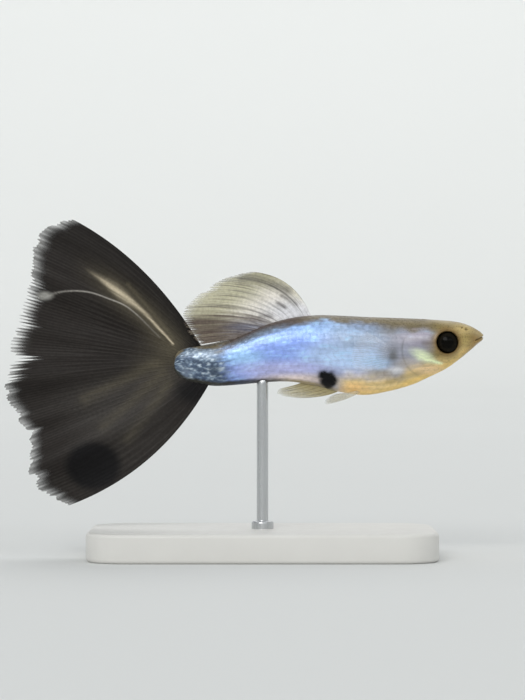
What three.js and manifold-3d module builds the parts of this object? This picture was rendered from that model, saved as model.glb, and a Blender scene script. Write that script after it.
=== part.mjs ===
// A male fancy guppy, life size, held still on a plain display stand.
// Millimetres, +Z up, +X towards the snout, +Y to the fish's left.
// The origin is on the underside of the stand's base, below the middle of the rod.
// Heights of the fish are counted from its axis, a level line through the root of the tail fin.

import * as THREE from "three";
import { mergeVertices } from "three/addons/utils/BufferGeometryUtils.js";
import Module from "manifold-3d";

const wasm = await Module();
wasm.setup();

// Driving sizes
const AXIS_HEIGHT = 20;
const GAP = 0.3;
const BASE = { length: 36, width: 20, height: 3, corner: 4, bevel: 0.4 };
const ROD_RADIUS = 0.6;
const EYE = { x: 19.1, z: 2.35, out: 1.5, radius: 1.15, half: 0.78 };
const GILL = { x: 17.3, z: 1.55, radius: 2.75, nape: 16.9 };
const STALK_FRONT = -2.8;
const MOUTH = { x: 22.95, z: 2.95, slope: 0.47, depth: 0.95, half: 1.15, slit: 0.24 };
const LIP = {
  radius: 0.21, half: 0.86, behind: 0.22, curve: 1.05, turn: 1.5, rise: 0.24, pout: 0.05, thin: 0.35,
};
const NOSTRIL = { x: 21.1, angle: 0.98, radius: 0.2, length: 0.26 };

// The body's stations from the root of the tail fin to the tip of the snout:
// place along X, height of the back, height of the belly, half the width.
const STATIONS = [
  [-9.2, 0.05, 0.05, 0],
  [-9.12, 0.8, -0.66, 0.36],
  [-8.85, 1.34, -1.1, 0.62],
  [-8.2, 1.72, -1.53, 0.84],
  [-7.0, 1.95, -1.87, 1.02],
  [-4.95, 2.3, -2.16, 1.22],
  [-2.35, 3.05, -2.02, 1.5],
  [0.25, 4.12, -1.78, 1.76],
  [2.85, 4.86, -1.72, 1.98],
  [5.45, 5.16, -2.12, 2.16],
  [8.05, 5.12, -2.78, 2.3],
  [10.65, 4.99, -3.1, 2.38],
  [13.25, 4.9, -2.68, 2.4],
  [15.55, 4.82, -2.03, 2.36],
  [17.4, 4.73, -1.22, 2.26],
  [19.1, 4.62, -0.37, 2.1],
  [20.45, 4.44, 0.58, 1.84],
  [21.5, 4.1, 1.44, 1.48],
  [22.3, 3.68, 2.14, 1.06],
  [22.78, 3.32, 2.58, 0.62],
  [22.95, 2.98, 2.96, 0],
];
const WIDEST = 0.53; // share of the depth, up from the belly, where the body is widest
const BACK_FULLNESS = 2.1;
const HEAD_FULLNESS = 2.7; // the top of the head is flat
const BELLY_FULLNESS = 1.9;
const AROUND_BODY = { back: -20, front: 30, side: 6, top: 40 }; // a box that holds any part of the body
const PAIRED_CUP = 0.35; // how far a paired fin is cupped outwards at its tip
const ROOT_SHARE = 0.25; // a fin thins from its root over this share of its rays
const EDGE_FROM = 0.86; // and again from here to its edge
const RIDGE_FADE = 0.55; // share of a ray's height lost by its tip
const HEAD_BLEND = [14, 20]; // the back turns into the top of the head between these places
const MERGE = 1e-4; // points closer than this are one point
const HALVINGS = 40;

// How many steps each curved form is drawn with
const STEPS = {
  body: { rings: 56, sides: 30 },
  ball: [18, 12],
  nostril: [10, 6],
  lip: 14,
  lipRound: 4,
  gill: 48,
  round: 24,
  corner: 6,
};

// A curve through points of any length, read at s from 0 to 1 by Catmull-Rom.
function through(points) {
  const last = points.length - 1;
  return (s) => {
    const at = Math.min(Math.max(s, 0), 1) * last;
    const i = Math.min(Math.floor(at), last - 1);
    const f = at - i;
    const [a, b, c, d] = [Math.max(i - 1, 0), i, i + 1, Math.min(i + 2, last)].map((k) => points[k]);
    return b.map((_, k) => {
      const bend = 2 * a[k] - 5 * b[k] + 4 * c[k] - d[k];
      const twist = 3 * (b[k] - c[k]) + d[k] - a[k];
      return b[k] + 0.5 * f * (c[k] - a[k] + f * (bend + f * twist));
    });
  };
}

const smooth = (low, high, v) => THREE.MathUtils.smoothstep(v, low, high);
const power = (v, e) => Math.sign(v) * Math.abs(v) ** e;
const station = through(STATIONS);

// A point of the skin: s runs from tail root to snout, angle from the back (0) over the left side.
function skinPoint(s, angle) {
  const [x, back, belly, half] = station(s);
  const middle = belly + WIDEST * (back - belly);
  const up = Math.cos(angle);
  const fullness = up > 0
    ? THREE.MathUtils.lerp(BACK_FULLNESS, HEAD_FULLNESS, smooth(...HEAD_BLEND, x))
    : BELLY_FULLNESS;
  const reach = up > 0 ? back - middle : middle - belly;
  const y = half * power(Math.sin(angle), 2 / fullness);
  const z = middle + reach * power(up, 2 / fullness);
  return new THREE.Vector3(x, y, AXIS_HEIGHT + z);
}

// The s at which the body's stations reach a place along X.
function stationAt(x) {
  let [low, high] = [0, 1];
  for (let i = 0; i < HALVINGS; i++) {
    const s = (low + high) / 2;
    if (station(s)[0] < x) low = s;
    else high = s;
  }
  return low;
}

// Closed meshes and solids
function closedGeometry(vertices, faces) {
  const geometry = new THREE.BufferGeometry();
  geometry.setAttribute("position", new THREE.Float32BufferAttribute(vertices, 3));
  geometry.setIndex(faces);
  return geometry;
}

function solidOf(geometry) {
  const bare = geometry.clone();
  for (const name of Object.keys(bare.attributes)) {
    if (name !== "position") bare.deleteAttribute(name);
  }
  const merged = mergeVertices(bare, MERGE);
  return new wasm.Manifold(
    new wasm.Mesh({
      numProp: 3,
      vertProperties: merged.attributes.position.array,
      triVerts: new Uint32Array(merged.index.array),
    }),
  );
}

function geometryOf(solid) {
  const mesh = solid.getMesh();
  return closedGeometry(Array.from(mesh.vertProperties), Array.from(mesh.triVerts));
}

function largest(solid) {
  return solid.decompose().reduce((best, piece) => (piece.volume() > best.volume() ? piece : best));
}

// The whole body as one closed skin, pushed out along its normals by grow.
function bodySolid(grow = 0) {
  const { rings, sides } = STEPS.body;
  const vertices = [];
  const faces = [];
  const ring = (i) => 1 + (i - 1) * sides;
  vertices.push(...skinPoint(0, 0).toArray());
  for (let i = 1; i < rings; i++) {
    for (let j = 0; j < sides; j++) {
      vertices.push(...skinPoint(i / rings, (2 * Math.PI * j) / sides).toArray());
    }
  }
  vertices.push(...skinPoint(1, 0).toArray());
  const tip = vertices.length / 3 - 1;
  for (let j = 0; j < sides; j++) {
    const k = (j + 1) % sides;
    faces.push(0, ring(1) + j, ring(1) + k);
    faces.push(tip, ring(rings - 1) + k, ring(rings - 1) + j);
    for (let i = 1; i < rings - 1; i++) {
      const [a, b, c, d] = [ring(i) + j, ring(i) + k, ring(i + 1) + j, ring(i + 1) + k];
      faces.push(a, c, b, b, c, d);
    }
  }
  const geometry = closedGeometry(vertices, faces);
  geometry.computeVertexNormals();
  const { position, normal } = geometry.attributes;
  const outward = Math.sign(normal.getX(tip));
  for (let i = 0; i < position.count; i++) {
    const push = new THREE.Vector3().fromBufferAttribute(normal, i).multiplyScalar(outward * grow);
    position.setXYZ(i, position.getX(i) + push.x, position.getY(i) + push.y, position.getZ(i) + push.z);
  }
  if (outward < 0) geometry.index.array.reverse();
  return solidOf(geometry);
}

function ellipsoid([x, y, z], [rx, ry, rz], steps = STEPS.ball) {
  const geometry = new THREE.SphereGeometry(1, ...steps);
  geometry.rotateX(Math.PI / 2);
  geometry.scale(rx, ry, rz);
  geometry.translate(x, y, z);
  return geometry;
}

function boxFrom([x0, y0, z0], [x1, y1, z1]) {
  const geometry = new THREE.BoxGeometry(x1 - x0, y1 - y0, z1 - z0);
  geometry.translate((x0 + x1) / 2, (y0 + y1) / 2, (z0 + z1) / 2);
  return solidOf(geometry);
}

// A fin: rays fan from a root curve over a bend curve to a tip curve, all given as [x, z].
// The plate lies along X and Z; sway gives its Y. Ridge columns stand proud and reach past the
// membrane between them, so that the edge is fringed.
function finGeometry({ roots, bends, tips, rays, rows, sway, half, ridge, edge, notch }) {
  const [root, bend, tip] = [roots, bends, tips].map(through);
  const columns = 2 * rays;
  const sides = [[], []];
  for (let c = 0; c <= columns; c++) {
    const s = c / columns;
    const isRay = c % 2 === 1;
    const reach = isRay ? 1 : 1 - notch;
    const [a, b, e] = [root(s), bend(s), tip(s)];
    for (let r = 0; r <= rows; r++) {
      const t = (r / rows) * reach;
      const u = 1 - t;
      const x = u * u * a[0] + 2 * u * t * b[0] + t * t * e[0];
      const z = u * u * a[1] + 2 * u * t * b[1] + t * t * e[1];
      const raised = isRay ? ridge * (1 - RIDGE_FADE * t) : 0;
      const thin = THREE.MathUtils.lerp(1, edge, smooth(EDGE_FROM, 1, r / rows));
      const thick = (THREE.MathUtils.lerp(half[0], half[1], Math.min(t / ROOT_SHARE, 1)) + raised) * thin;
      const y = sway(s, t);
      sides[0].push(x, y - thick, AXIS_HEIGHT + z);
      sides[1].push(x, y + thick, AXIS_HEIGHT + z);
    }
  }
  const count = (columns + 1) * (rows + 1);
  const at = (c, r, side) => side * count + c * (rows + 1) + r;
  const faces = [];
  for (let c = 0; c < columns; c++) {
    for (let r = 0; r < rows; r++) {
      const [a, b, d, e] = [at(c, r, 0), at(c, r + 1, 0), at(c + 1, r, 0), at(c + 1, r + 1, 0)];
      faces.push(a, b, d, b, e, d);
      faces.push(a + count, d + count, b + count, b + count, d + count, e + count);
    }
    for (const r of [0, rows]) {
      const wall = [at(c, r, 0), at(c + 1, r, 0), at(c, r, 1), at(c + 1, r, 1)];
      const [a, b, d, e] = wall;
      if (r === 0) faces.push(a, b, d, b, e, d);
      else faces.push(a, d, b, b, d, e);
    }
  }
  for (let r = 0; r < rows; r++) {
    for (const c of [0, columns]) {
      const [a, b, d, e] = [at(c, r, 0), at(c, r + 1, 0), at(c, r, 1), at(c, r + 1, 1)];
      if (c === 0) faces.push(a, d, b, b, d, e);
      else faces.push(a, b, d, b, e, d);
    }
  }
  return closedGeometry([...sides[0], ...sides[1]], faces);
}

// A closed geometry as a solid, turned the right way out.
function outwardSolid(geometry) {
  const solid = solidOf(geometry);
  if (solid.volume() > 0) return solid;
  const turned = geometry.clone();
  turned.index.array.reverse();
  return solidOf(turned);
}

const whole = bodySolid();
const clearance = bodySolid(GAP);

// Tail fin: a wide delta whose upper and lower rays bow outwards, with shallow folds along the rays.
const TAIL = {
  roots: [[-6.2, 1.7], [-7.5, 0.9], [-7.9, 0.2], [-7.5, -0.7], [-5.4, -1.7]],
  bends: [
    [-11.8, 11.2], [-12.8, 6.7], [-14.5, 3.0], [-16.0, 0.4], [-15.4, -2.6], [-13.8, -6.2],
    [-10.7, -11.3],
  ],
  tips: [
    [-20.2, 15.4], [-23.2, 14.0], [-24.2, 11.4], [-24.6, 8.6], [-25.7, 5.6], [-26.4, 2.6],
    [-26.9, -0.6], [-27.1, -3.3], [-25.7, -5.6], [-24.4, -8.0], [-24.6, -10.6], [-23.6, -13.0],
    [-20.6, -14.8],
  ],
  rays: 24,
  rows: 15,
  half: [0.5, 0.26],
  ridge: 0.16,
  edge: 0.42,
  notch: 0.05,
  sway: (s, t) => {
    const wide = 0.62 * Math.sin(2 * Math.PI * (3.1 * s + 0.12));
    const narrow = 0.3 * Math.sin(2 * Math.PI * (6.3 * s + 0.4));
    return smooth(0.05, 1, t) * (1.15 * (wide + narrow) + 0.7 * Math.sin(Math.PI * (s - 0.15)));
  },
};

// Dorsal fin: a long flag that rises behind the middle of the back and lies back over the stalk,
// where its rear part passes the right side of the tail fin.
const DORSAL = {
  roots: [[5.3, 4.4], [3.4, 4.1], [1.4, 3.6], [-0.5, 2.95]],
  bends: [[3.6, 9.6], [0.6, 7.8], [-1.4, 5.2], [-3.1, 2.7]],
  tips: [[-1.6, 9.7], [-4.3, 8.9], [-6.6, 7.4], [-8.2, 6.1], [-8.5, 4.8], [-7.9, 3.3], [-6.6, 2.1]],
  rays: 11,
  rows: 12,
  half: [0.3, 0.25],
  ridge: 0.12,
  edge: 0.45,
  notch: 0.06,
  sway: (s, t) => {
    const wave = 0.3 * Math.sin(2 * Math.PI * (1.3 * s + 0.05));
    return smooth(0, 1, t) * (wave - 0.8 - 0.75 * smooth(0.3, 0.7, s));
  },
};

// Anal fin: in the male a narrow pointed organ of a few rays, laid back close under the belly.
const ANAL = {
  roots: [[8.4, -2.4], [7.4, -2.1], [6.2, -1.75], [5.0, -1.5]],
  bends: [[7.0, -3.5], [5.4, -3.25], [3.9, -2.6], [3.2, -2.2]],
  tips: [[3.2, -3.45], [1.9, -3.2], [1.3, -2.85], [1.7, -2.45]],
  rays: 4,
  rows: 10,
  half: [0.34, 0.26],
  ridge: 0.1,
  edge: 0.6,
  notch: 0.05,
  sway: () => 0,
};

// Paired fins are drawn beside the body's middle plane, then turned about their root.
const PELVIC = {
  place: [9.9, 0.85, -2.9],
  turn: [0.35, 0, 0.3],
  roots: [[0.9, 0.5], [0.45, 0.3], [0, 0.3]],
  bends: [[-0.6, -0.7], [-1.2, -0.5], [-1.3, -0.1]],
  tips: [[-3.9, -1.3], [-3.5, -0.7], [-2.6, -0.15]],
  rays: 4,
  rows: 8,
  half: [0.27, 0.25],
  ridge: 0.09,
  edge: 0.5,
  notch: 0.08,
};
const PECTORAL = {
  place: [13.5, 2.0, 0.9],
  turn: [-0.25, 0.1, 0.55],
  roots: [[0.2, 0.75], [0, 0.25], [0, -0.2], [0.2, -0.65]],
  bends: [[-1.6, 1.5], [-2.4, 0.8], [-2.4, -0.5], [-1.4, -1.3]],
  tips: [[-4.1, 2.3], [-5.1, 1.2], [-5.4, -0.2], [-4.9, -1.5], [-3.7, -2.2]],
  rays: 9,
  rows: 8,
  half: [0.28, 0.25],
  ridge: 0.1,
  edge: 0.5,
  notch: 0.05,
};

function pairedFin(fin, side) {
  const sway = (s, t) => side * PAIRED_CUP * t * t * (1 - 2 * Math.abs(s - 0.5));
  const geometry = finGeometry({ ...fin, sway });
  geometry.translate(0, 0, -AXIS_HEIGHT);
  const [x, y, z] = fin.place;
  const [roll, pitch, yaw] = fin.turn;
  geometry.applyMatrix4(
    new THREE.Matrix4()
      .makeRotationFromEuler(new THREE.Euler(side * roll, pitch, -side * yaw, "ZYX"))
      .setPosition(x, side * y, AXIS_HEIGHT + z),
  );
  return outwardSolid(geometry);
}

// The head: sockets for the eyes, the slit of the mouth between two lips, and the nostrils.
function socket(side) {
  const radii = [EYE.radius + GAP, EYE.half + GAP, EYE.radius + GAP];
  return solidOf(ellipsoid([EYE.x, side * EYE.out, AXIS_HEIGHT + EYE.z], radii));
}

// One lip: a bow round the front of the mouth whose ends sink into the snout.
function lip(rise, forward) {
  const steps = STEPS.lip;
  const points = [];
  for (let i = 0; i <= steps; i++) {
    const angle = THREE.MathUtils.lerp(-LIP.turn, LIP.turn, i / steps);
    const behind = LIP.behind + LIP.curve * (1 - Math.cos(angle)) - forward;
    const z = MOUTH.z - MOUTH.slope * behind + rise * (1 - LIP.thin * Math.abs(Math.sin(angle)));
    points.push(new THREE.Vector3(MOUTH.x - behind, LIP.half * Math.sin(angle), AXIS_HEIGHT + z));
  }
  const round = new THREE.Shape().absarc(0, 0, LIP.radius, 0, 2 * Math.PI);
  const path = new THREE.CatmullRomCurve3(points);
  const options = { extrudePath: path, steps, curveSegments: STEPS.lipRound };
  return outwardSolid(new THREE.ExtrudeGeometry(round, options));
}

function mouthSlit() {
  const geometry = new THREE.CylinderGeometry(1, 1, MOUTH.slit, STEPS.round);
  geometry.rotateX(Math.PI / 2);
  geometry.scale(MOUTH.depth, MOUTH.half, 1);
  geometry.rotateY(-Math.atan(MOUTH.slope));
  geometry.translate(MOUTH.x, 0, AXIS_HEIGHT + MOUTH.z);
  return solidOf(geometry);
}

function nostril(side) {
  const at = skinPoint(stationAt(NOSTRIL.x), side * NOSTRIL.angle).toArray();
  return solidOf(ellipsoid(at, [NOSTRIL.length, NOSTRIL.radius, NOSTRIL.radius], STEPS.nostril));
}

// All that lies in front of the nape and inside the round edge of the gill covers.
function gillSide(grow) {
  const { front, side, top } = AROUND_BODY;
  const radius = GILL.radius + grow;
  const cover = new THREE.CylinderGeometry(radius, radius, 2 * side, STEPS.gill);
  cover.translate(GILL.x, 0, AXIS_HEIGHT + GILL.z);
  return boxFrom([GILL.nape - grow, -side, 0], [front, side, top]).add(solidOf(cover));
}

function behindStalkFront(grow) {
  const { back, side, top } = AROUND_BODY;
  return boxFrom([back, -side, 0], [STALK_FRONT + grow, side, top]);
}

function headSolid() {
  let head = whole.intersect(gillSide(0));
  head = head.add(lip(LIP.rise, 0)).add(lip(-LIP.rise, LIP.pout)).subtract(mouthSlit());
  for (const side of [-1, 1]) {
    head = head.subtract(socket(side)).subtract(nostril(side));
  }
  return head;
}

function torsoSolid() {
  return whole.subtract(gillSide(GAP)).subtract(behindStalkFront(GAP));
}

function stalkSolid() {
  return whole.intersect(behindStalkFront(0));
}

// The stand
function baseGeometry() {
  const { length, width, height, corner, bevel } = BASE;
  const [x, y] = [length / 2 - bevel, width / 2 - bevel];
  const outline = new THREE.Shape();
  outline.moveTo(-x + corner, -y);
  outline.lineTo(x - corner, -y).absarc(x - corner, -y + corner, corner, -Math.PI / 2, 0);
  outline.lineTo(x, y - corner).absarc(x - corner, y - corner, corner, 0, Math.PI / 2);
  outline.lineTo(-x + corner, y).absarc(-x + corner, y - corner, corner, Math.PI / 2, Math.PI);
  outline.lineTo(-x, -y + corner).absarc(-x + corner, -y + corner, corner, Math.PI, 1.5 * Math.PI);
  const options = {
    depth: height - 2 * bevel,
    bevelSize: bevel,
    bevelThickness: bevel,
    bevelSegments: 1,
    curveSegments: STEPS.corner,
  };
  const geometry = new THREE.ExtrudeGeometry(outline, options);
  geometry.translate(0, 0, bevel);
  return geometry;
}

function rodSolid() {
  const bottom = BASE.height + GAP;
  const top = AXIS_HEIGHT;
  const geometry = new THREE.CylinderGeometry(ROD_RADIUS, ROD_RADIUS, top - bottom, STEPS.round);
  geometry.rotateX(Math.PI / 2);
  geometry.translate(0, 0, (bottom + top) / 2);
  return solidOf(geometry).subtract(clearance);
}

// Materials
function finish(color, roughness, metalness = 0) {
  return new THREE.MeshStandardMaterial({ color, roughness, metalness });
}

const FINISH = {
  head: finish(0x8c8a6e, 0.35),
  flank: finish(0x8fa8e6, 0.28, 0.3),
  tail: finish(0x2b2724, 0.5),
  clear_fin: finish(0xb5ad98, 0.4),
  eye: finish(0x0b0a08, 0.08),
  stand: finish(0xe4e2dc, 0.45),
  steel: finish(0xb9bcc0, 0.3, 1),
};

const guppy = new THREE.Group();

function addNode(name, geometry, material) {
  geometry.computeVertexNormals();
  const mesh = new THREE.Mesh(geometry, material);
  mesh.name = name;
  guppy.add(mesh);
}

const addSolid = (name, solid, material) => addNode(name, geometryOf(largest(solid)), material);
const addFin = (name, fin, material) => addSolid(name, fin.subtract(clearance), material);

addSolid("head", headSolid(), FINISH.head);
addSolid("torso", torsoSolid(), FINISH.flank);
addSolid("tail_stalk", stalkSolid(), FINISH.flank);
addFin("tail_fin", outwardSolid(finGeometry(TAIL)), FINISH.tail);
addFin("dorsal_fin", outwardSolid(finGeometry(DORSAL)), FINISH.clear_fin);
addFin("anal_fin", outwardSolid(finGeometry(ANAL)), FINISH.clear_fin);
for (const [name, side] of [["left", 1], ["right", -1]]) {
  addFin(`pelvic_fin_${name}`, pairedFin(PELVIC, side), FINISH.clear_fin);
  addFin(`pectoral_fin_${name}`, pairedFin(PECTORAL, side), FINISH.clear_fin);
  const eye = [EYE.x, side * EYE.out, AXIS_HEIGHT + EYE.z];
  addNode(`eye_${name}`, ellipsoid(eye, [EYE.radius, EYE.half, EYE.radius]), FINISH.eye);
}
addNode("stand_base", baseGeometry(), FINISH.stand);
addSolid("stand_rod", rodSolid(), FINISH.steel);

export default guppy;
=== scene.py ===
"""A male fancy guppy, life size, held level on a plain display stand.

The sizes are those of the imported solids. This script dresses them: one skin over the flesh with its
scales, fins with fine branching rays, wet eyes and a finished stand. Lengths are millimetres, with
+X towards the snout, +Y to the fish's left and heights of the fish counted from its axis.
"""

import math

import bmesh
import bpy
import numpy as np
from mathutils import Euler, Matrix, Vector


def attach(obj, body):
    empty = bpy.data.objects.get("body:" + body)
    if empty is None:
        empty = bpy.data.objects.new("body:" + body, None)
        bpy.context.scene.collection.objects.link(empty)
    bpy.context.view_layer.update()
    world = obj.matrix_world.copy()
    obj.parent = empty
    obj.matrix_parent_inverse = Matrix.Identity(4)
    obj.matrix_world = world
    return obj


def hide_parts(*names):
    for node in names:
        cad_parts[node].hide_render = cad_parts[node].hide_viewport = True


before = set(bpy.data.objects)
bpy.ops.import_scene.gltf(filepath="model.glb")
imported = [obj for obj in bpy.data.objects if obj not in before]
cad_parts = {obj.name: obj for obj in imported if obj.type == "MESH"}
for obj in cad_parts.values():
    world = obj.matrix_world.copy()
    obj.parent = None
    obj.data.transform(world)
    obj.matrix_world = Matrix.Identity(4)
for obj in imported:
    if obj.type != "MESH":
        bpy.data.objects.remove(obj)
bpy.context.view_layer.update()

MM = 0.001
AXIS_HEIGHT = 20.0
rng = np.random.default_rng(11)

# The photograph: its scale, and the pixel that lies on the origin's column and on the fish's axis
PIXEL_MM = 0.104
PHOTO_SIZE = (525, 700)
ORIGIN_COLUMN = 262.5
AXIS_ROW = 365.0

# The body: place along X, height of the back, height of the belly, half the width
STATIONS = [
    [-9.2, 0.05, 0.05, 0], [-9.12, 0.8, -0.66, 0.36], [-8.85, 1.34, -1.1, 0.62],
    [-8.2, 1.72, -1.53, 0.84], [-7.0, 1.95, -1.87, 1.02], [-4.95, 2.3, -2.16, 1.22],
    [-2.35, 3.05, -2.02, 1.5], [0.25, 4.12, -1.78, 1.76], [2.85, 4.86, -1.72, 1.98],
    [5.45, 5.16, -2.12, 2.16], [8.05, 5.12, -2.78, 2.3], [10.65, 4.99, -3.1, 2.38],
    [13.25, 4.9, -2.68, 2.4], [15.55, 4.82, -2.03, 2.36], [17.4, 4.73, -1.22, 2.26],
    [19.1, 4.62, -0.37, 2.1], [20.45, 4.44, 0.58, 1.84], [21.5, 4.1, 1.44, 1.48],
    [22.3, 3.68, 2.14, 1.06], [22.78, 3.32, 2.58, 0.62], [22.95, 2.98, 2.96, 0],
]
WIDEST = 0.53
BACK_FULLNESS = 2.1
HEAD_FULLNESS = 2.7
BELLY_FULLNESS = 1.9
HEAD_BLEND = (14, 20)

# Places on the head
EYE = {"x": 19.1, "z": 2.35, "out": 1.5, "radius": 1.15, "half": 0.78, "dome": 0.05}
GILL = {"x": 17.3, "z": 1.55, "radius": 2.75, "nape": 16.9, "top": 3.9}
MOUTH = {"x": 22.95, "z": 2.95, "slope": 0.47, "depth": 0.95}
NOSTRILS = [(21.1, 0.98, 0.12), (20.65, 0.9, 0.08)]
PECTORAL_BASE = (13.5, 0.9)


# Curves, masks and noise
def through(points):
    """A curve through points, read at s from 0 to 1 by Catmull-Rom."""
    points = np.array(points, float)
    last = len(points) - 1

    def curve(s):
        at = np.clip(np.asarray(s, float), 0, 1) * last
        i = np.minimum(at.astype(int), last - 1)
        f = (at - i)[..., None]
        a, b, c, d = (points[np.clip(i + k, 0, last)] for k in (-1, 0, 1, 2))
        bend = 2 * a - 5 * b + 4 * c - d
        twist = 3 * (b - c) + d - a
        return b + 0.5 * f * (c - a + f * (bend + f * twist))

    return curve


def smooth(low, high, value):
    """Rises from 0 at low to 1 at high."""
    f = np.clip((value - low) / (high - low), 0, 1)
    return f * f * (3 - 2 * f)


def fade(low, high, value):
    """Falls from 1 at low to 0 at high."""
    return 1 - smooth(low, high, value)


def lerp(a, b, f):
    return a + (b - a) * f


def power(value, exponent):
    return np.sign(value) * np.abs(value) ** exponent


def bell(value, width):
    return np.exp(-((value / width) ** 2))


CELLS = 64
LATTICE = rng.random((CELLS, CELLS))


def noise(u, v):
    """Soft noise from 0 to 1 that varies over a distance of 1 along u and v."""
    i = np.floor(u).astype(int)
    j = np.floor(v).astype(int)
    f = smooth(0, 1, u - i)
    low, high = (
        lerp(LATTICE[i % CELLS, k % CELLS], LATTICE[(i + 1) % CELLS, k % CELLS], f) for k in (j, j + 1)
    )
    return lerp(low, high, smooth(0, 1, v - j))


def spot(x, z, place, radii, soft=0.35):
    """1 inside an ellipse and 0 outside it, with a soft edge."""
    away = np.hypot((x - place[0]) / radii[0], (z - place[1]) / radii[1])
    return fade(1 - soft, 1 + soft, away)


def stroke(x, z, points, width, steps=25):
    """1 on the curve through points, fading to 0 beside it."""
    line = through(points)(np.linspace(0, 1, steps))
    away = np.full(np.shape(x), 99.0)
    for start, end in zip(line[:-1], line[1:]):
        run = end - start
        dx, dz = x - start[0], z - start[1]
        along = np.clip((dx * run[0] + dz * run[1]) / (run @ run), 0, 1)
        away = np.minimum(away, np.hypot(dx - along * run[0], dz - along * run[1]))
    return bell(away, width)


# The body's surface
station = through(STATIONS)
FINE_S = np.linspace(0, 1, 4001)
FINE = station(FINE_S)
BACK, BELLY = 1, 2


def s_at(x):
    return np.interp(x, FINE[:, 0], FINE_S)


def edge_height(x, edge):
    """The height of the BACK or the BELLY at x."""
    return np.interp(x, FINE[:, 0], FINE[:, edge])


def off_gill(x, z):
    """Distance outside the round edge of the gill cover, negative inside it."""
    return np.hypot(x - GILL["x"], z - GILL["z"]) - GILL["radius"]


def body_point(s, angle):
    """A point of the skin: s from tail root to snout, angle from the back over the left side."""
    x, back, belly, half = np.moveaxis(station(s), -1, 0)
    middle = belly + WIDEST * (back - belly)
    up = np.cos(angle)
    top = lerp(BACK_FULLNESS, HEAD_FULLNESS, smooth(*HEAD_BLEND, x))
    fullness = np.where(up > 0, top, BELLY_FULLNESS)
    reach = np.where(up > 0, back - middle, middle - belly)
    y = half * power(np.sin(angle), 2 / fullness)
    z = middle + reach * power(up, 2 / fullness)
    return np.stack([x, y, z], -1)


def body_normal(s, angle):
    step = 1e-3
    s = np.clip(s, 2 * step, 1 - 2 * step)
    along = body_point(s + step, angle) - body_point(s - step, angle)
    around = body_point(s, angle + step) - body_point(s, angle - step)
    normal = np.cross(along, around)
    return normal / np.linalg.norm(normal, axis=-1, keepdims=True)


# Mesh makers
RIM_ANGLE = math.radians(50)


def new_object(name, data):
    made = bpy.data.objects.new(name, data)
    bpy.context.scene.collection.objects.link(made)
    return made


def add_object(name, points, faces, material):
    """A mesh object, smooth but for its rims. Points are millimetres, heights counted from the axis."""
    mesh = bpy.data.meshes.new(name)
    mesh.from_pydata(((points + [0, 0, AXIS_HEIGHT]) * MM).tolist(), [], faces)
    made = bmesh.new()
    made.from_mesh(mesh)
    bmesh.ops.recalc_face_normals(made, faces=made.faces)
    made.to_mesh(mesh)
    made.free()
    mesh.shade_smooth()
    mesh.set_sharp_from_angle(angle=RIM_ANGLE)
    mesh.materials.append(material)
    return new_object(name, mesh)


def set_values(piece, **fields):
    """Stores one value or colour for each point as a named attribute."""
    for name, values in fields.items():
        values = np.asarray(values, np.float32)
        kind, key = "FLOAT", "value"
        if values.ndim == 2:
            kind, key = "FLOAT_COLOR", "color"
            values = np.column_stack([values, np.ones(len(values), np.float32)])
        piece.data.attributes.new(name, kind, "POINT").data.foreach_set(key, values.ravel())


def set_unwrap(piece, uv):
    """Writes the map from each point's place, closing the seam of an unwrap that runs round."""
    mesh = piece.data
    corner = np.zeros(len(mesh.loops), np.int32)
    mesh.loops.foreach_get("vertex_index", corner)
    starts = np.zeros(len(mesh.polygons), np.int32)
    mesh.polygons.foreach_get("loop_start", starts)
    places = uv[corner].astype(np.float32)
    lowest = np.minimum.reduceat(places[:, 0], starts)
    highest = np.maximum.reduceat(places[:, 0], starts)
    counts = np.diff(np.append(starts, len(corner)))
    crosses = np.repeat(highest - lowest > 0.5, counts)
    places[crosses & (places[:, 0] < 0.5), 0] += 1
    mesh.uv_layers.new(name="OFBake").data.foreach_set("uv", places.ravel())


def closed_plates(under, over):
    """Points and quads of closed plates between two stacks of grids, shaped plate, row, column."""
    plates, rows, columns = under.shape[:3]
    index = np.arange(rows * columns).reshape(rows, columns)
    size = rows * columns
    sheet = np.stack([index[:-1, :-1], index[1:, :-1], index[1:, 1:], index[:-1, 1:]], -1).reshape(-1, 4)
    rim = np.concatenate([index[0, :-1], index[:-1, -1], index[-1, :0:-1], index[:0:-1, 0]])
    after = np.roll(rim, -1)
    wall = np.stack([rim, after, after + size, rim + size], -1)
    one = np.concatenate([sheet, sheet[:, ::-1] + size, wall])
    faces = (one[None] + 2 * size * np.arange(plates)[:, None, None]).reshape(-1, 4)
    points = np.concatenate([under.reshape(plates, -1, 3), over.reshape(plates, -1, 3)], 1)
    return points.reshape(-1, 3), faces.tolist()


def both_sides(values):
    """Values over a stack of grids, for the points of closed plates between two such stacks."""
    return np.stack([values, values], 1).reshape(-1, *values.shape[3:])


def turned(profile, sides):
    """Rings of points about Z, one for each [radius, height]."""
    turn = np.linspace(0, 2 * np.pi, sides, endpoint=False)
    radius, height = np.array(profile).T[..., None]
    rings = [radius * np.cos(turn), radius * np.sin(turn), height * np.ones(sides)]
    return np.stack(rings, -1).reshape(-1, 3)


def bands(rings, sides, first=0):
    """The numbers of the points in rings, and the quads between the rings."""
    index = first + np.arange(rings * sides).reshape(rings, sides)
    after = np.roll(index, -1, axis=1)
    quads = np.stack([index[:-1], after[:-1], after[1:], index[1:]], -1).reshape(-1, 4)
    return index.tolist(), quads.tolist()


def ring_faces(rings, sides):
    """Quads between rings of points, closed by a fan at each end."""
    index, faces = bands(rings, sides, 1)
    first, last = index[0], index[-1]
    faces += [[0, b, a] for a, b in zip(first, first[1:] + first[:1])]
    faces += [[rings * sides + 1, a, b] for a, b in zip(last, last[1:] + last[:1])]
    return faces


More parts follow.
